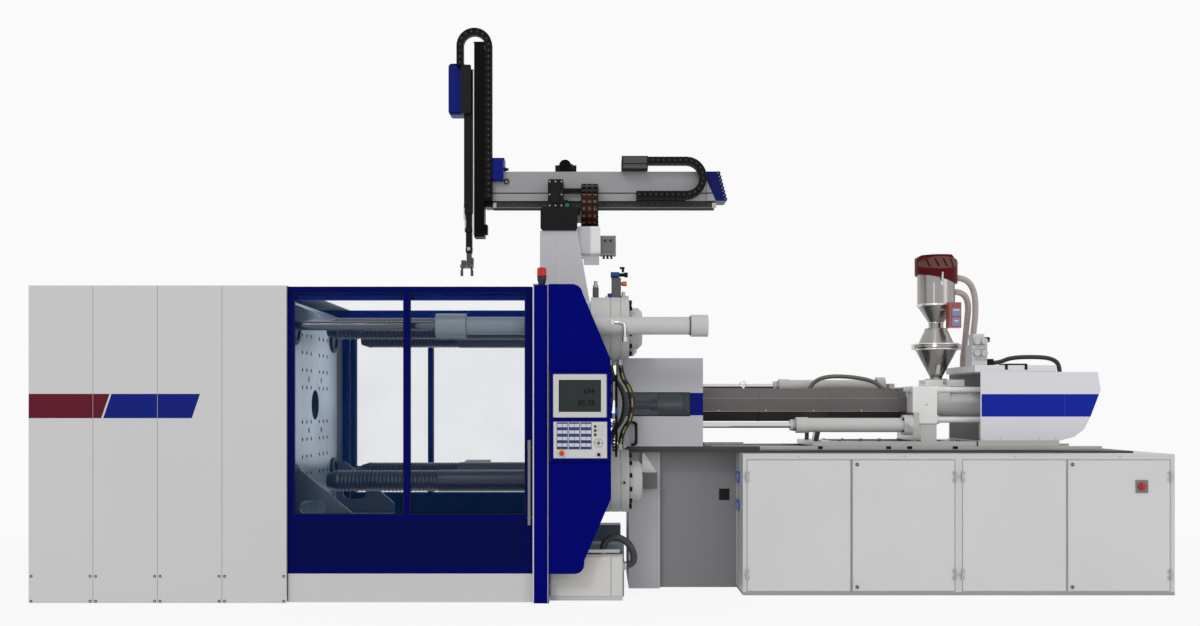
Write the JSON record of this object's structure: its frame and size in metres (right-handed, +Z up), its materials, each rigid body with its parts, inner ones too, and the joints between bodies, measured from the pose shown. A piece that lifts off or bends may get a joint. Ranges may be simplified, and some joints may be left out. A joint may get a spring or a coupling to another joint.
{
  "type": "injection moulding machine",
  "caption": "Two-platen injection moulding machine: guarded clamp unit with sliding doors, injection unit with hopper, operator panel and a linear robot above.",
  "frame": {"origin": "on the floor and on the machine's centre plane, 70 mm behind the fixed platen's rear face", "axes": "+X from the clamp unit to the injection unit, +Y away from the operator, +Z up"},
  "size_m": [8.658, 3.103, 4.5818],
  "materials": {
    "aluminium": "anodised",
    "beacon_plastic": "red lens on a black foot",
    "bed_paint": "grey-blue paint",
    "black_paint": "black satin paint",
    "black_plastic": "black",
    "blue_paint": "glossy dark blue paint",
    "chromed": "hard chrome",
    "cover_steel": "heat-toned stainless",
    "dark_grey_paint": "dark grey",
    "dark_stainless": "dark brushed stainless",
    "hose_clear": "translucent spiral hose",
    "hose_rubber": "black rubber",
    "light_paint": "smooth light grey paint",
    "machined": "milled steel",
    "maroon_plastic": "dark red",
    "red_black_plastic": "red knob",
    "red_plastic": "red",
    "screen_plastic": "dark display with a light frame",
    "stainless": "brushed stainless",
    "tinted_glass": "light blue tinted clear sheet",
    "toothed_steel": "dark oiled steel",
    "white_paint": "white paint",
    "white_plastic": "fine texture",
    "window_dark": "dark tinted sheet"
  },
  "bodies": {
    "root": {"clamp_bed": "bed_paint", "guide_rails": "machined", "fixed_platen": "machined", "clamp_cylinders": "white_paint", "travel_cylinders": "white_paint", "carriage_rods": "chromed", "guard_frame": "blue_paint", "cover_panels": "light_paint", "operator_column": "blue_paint", "operator_housing": "blue_paint", "signal_beacon": "beacon_plastic", "injection_bed": "light_paint", "way_covers": "dark_stainless", "robot_pedestal": "light_paint", "traverse_beam": "aluminium", "service_units": "white_paint", "hydraulic_hoses": "hose_rubber"},
    "moving_platen": {"moving_platen": "machined", "travel_rods": "chromed", "ejector_cylinders": "machined"},
    "lock_front": {"lock_halves_front": "toothed_steel"},
    "lock_rear": {"lock_halves_rear": "toothed_steel"},
    "ejector": {"ejector_plate": "machined"},
    "tie_bars": {"tie_bars": "toothed_steel"},
    "front_door": {"door_frame": "blue_paint", "door_windows": "tinted_glass", "door_handle": "stainless"},
    "rear_door": {"rear_door_frame": "blue_paint", "rear_door_windows": "tinted_glass"},
    "nozzle_guard": {"nozzle_guard": "light_paint", "nozzle_guard_window": "window_dark"},
    "panel": {"panel_carrier": "white_plastic", "display_unit": "screen_plastic", "keypad_unit": "white_plastic"},
    "emergency_button": {"emergency_button": "red_plastic"},
    "key_switch": {"key_switch": "black_plastic"},
    "carriage": {"carriage_frame": "machined", "feed_housing": "white_paint", "carriage_cylinders": "white_paint", "barrel": "machined", "barrel_cover": "cover_steel", "injection_cylinder": "white_paint", "rear_cover": "light_paint", "hopper": "stainless", "loader": "stainless", "loader_cap": "maroon_plastic", "material_hoses": "hose_clear"},
    "injection_piston": {"injection_piston": "machined"},
    "screw": {"screw": "machined"},
    "slide_gate": {"slide_gate": "stainless"},
    "cabinet_door_1": {"cabinet_door_1": "light_paint"},
    "cabinet_door_2": {"cabinet_door_2": "light_paint"},
    "cabinet_door_3": {"cabinet_door_3": "light_paint"},
    "cabinet_door_4": {"cabinet_door_4": "light_paint"},
    "main_switch": {"main_switch": "red_black_plastic"},
    "robot_carriage": {"robot_carriage": "black_paint"},
    "robot_beam": {"robot_beam": "aluminium"},
    "robot_mast": {"robot_mast": "black_paint"},
    "robot_arm": {"robot_arm": "dark_grey_paint"},
    "robot_wrist": {"robot_wrist": "aluminium"}
  },
  "joints": [
    {"name": "clamp_stroke", "type": "slide", "parent": "root", "child": "moving_platen", "axis": [1, 0, 0], "range_m": [0, 1.45]},
    {"name": "lock_front", "type": "slide", "parent": "moving_platen", "child": "lock_front", "axis": [0, 1, 0], "range_m": [0, 0.038]},
    {"name": "lock_rear", "type": "slide", "parent": "moving_platen", "child": "lock_rear", "axis": [0, -1, 0], "range_m": [0, 0.038]},
    {"name": "ejector_stroke", "type": "slide", "parent": "moving_platen", "child": "ejector", "axis": [1, 0, 0], "range_m": [0, 0.2]},
    {"name": "tie_pull", "type": "slide", "parent": "root", "child": "tie_bars", "axis": [-1, 0, 0], "range_m": [0, 0.03]},
    {"name": "front_door", "type": "slide", "parent": "root", "child": "front_door", "axis": [-1, 0, 0], "range_m": [0, 1.74]},
    {"name": "rear_door", "type": "slide", "parent": "root", "child": "rear_door", "axis": [-1, 0, 0], "range_m": [0, 1.74]},
    {"name": "nozzle_guard", "type": "slide", "parent": "root", "child": "nozzle_guard", "axis": [1, 0, 0], "range_m": [0, 0.45]},
    {"name": "panel_swivel", "type": "hinge", "parent": "root", "child": "panel", "pos_m": [-0.37, -1.198, 1.4], "axis": [0, 0, -1], "range_deg": [0, 60]},
    {"name": "emergency_stop", "type": "slide", "parent": "panel", "child": "emergency_button", "axis": [0, 1, 0], "range_m": [0, 0.006]},
    {"name": "key_turn", "type": "hinge", "parent": "panel", "child": "key_switch", "pos_m": [-0.009, -1.2, 1.102], "axis": [0, 1, 0], "range_deg": [0, 90]},
    {"name": "carriage_stroke", "type": "slide", "parent": "root", "child": "carriage", "axis": [-1, 0, 0], "range_m": [0, 0.75]},
    {"name": "inject", "type": "slide", "parent": "carriage", "child": "injection_piston", "axis": [1, 0, 0], "range_m": [0, 0.35]},
    {"name": "screw_turn", "type": "hinge", "parent": "injection_piston", "child": "screw", "pos_m": [3, 0, 1.47], "axis": [1, 0, 0], "continuous": true},
    {"name": "gate_slide", "type": "slide", "parent": "carriage", "child": "slide_gate", "axis": [1, 0, 0], "range_m": [0, 0.1]},
    {"name": "cabinet_door_1", "type": "hinge", "parent": "root", "child": "cabinet_door_1", "pos_m": [1.131, -0.795, 0.5], "axis": [0, 0, -1], "range_deg": [0, 90]},
    {"name": "cabinet_door_2", "type": "hinge", "parent": "root", "child": "cabinet_door_2", "pos_m": [2.737, -0.795, 0.5], "axis": [0, 0, 1], "range_deg": [0, 90]},
    {"name": "cabinet_door_3", "type": "hinge", "parent": "root", "child": "cabinet_door_3", "pos_m": [2.79, -0.795, 0.5], "axis": [0, 0, -1], "range_deg": [0, 90]},
    {"name": "cabinet_door_4", "type": "hinge", "parent": "root", "child": "cabinet_door_4", "pos_m": [4.396, -0.795, 0.5], "axis": [0, 0, 1], "range_deg": [0, 90]},
    {"name": "main_switch", "type": "hinge", "parent": "cabinet_door_4", "child": "main_switch", "pos_m": [4.1715, -0.8, 0.839], "axis": [0, 1, 0], "range_deg": [0, 90]},
    {"name": "robot_traverse", "type": "slide", "parent": "root", "child": "robot_carriage", "axis": [0, 1, 0], "range_m": [0, 1.5]},
    {"name": "robot_kick", "type": "slide", "parent": "robot_carriage", "child": "robot_beam", "axis": [1, 0, 0], "range_m": [-0.3, 0.33]},
    {"name": "robot_lower", "type": "slide", "parent": "robot_beam", "child": "robot_mast", "axis": [0, 0, -1], "range_m": [0, 0.6]},
    {"name": "robot_extend", "type": "slide", "parent": "robot_mast", "child": "robot_arm", "axis": [0, 0, -1], "range_m": [0, 0.6]},
    {"name": "wrist_tilt", "type": "hinge", "parent": "robot_arm", "child": "robot_wrist", "pos_m": [-1.087, -0.08, 2.76], "axis": [0, 1, 0], "range_deg": [0, 90]}
  ],
  "couplings": [
    {"joint": "lock_rear", "follows": "lock_front", "ratio": 1},
    {"joint": "robot_extend", "follows": "robot_lower", "ratio": 1}
  ]
}
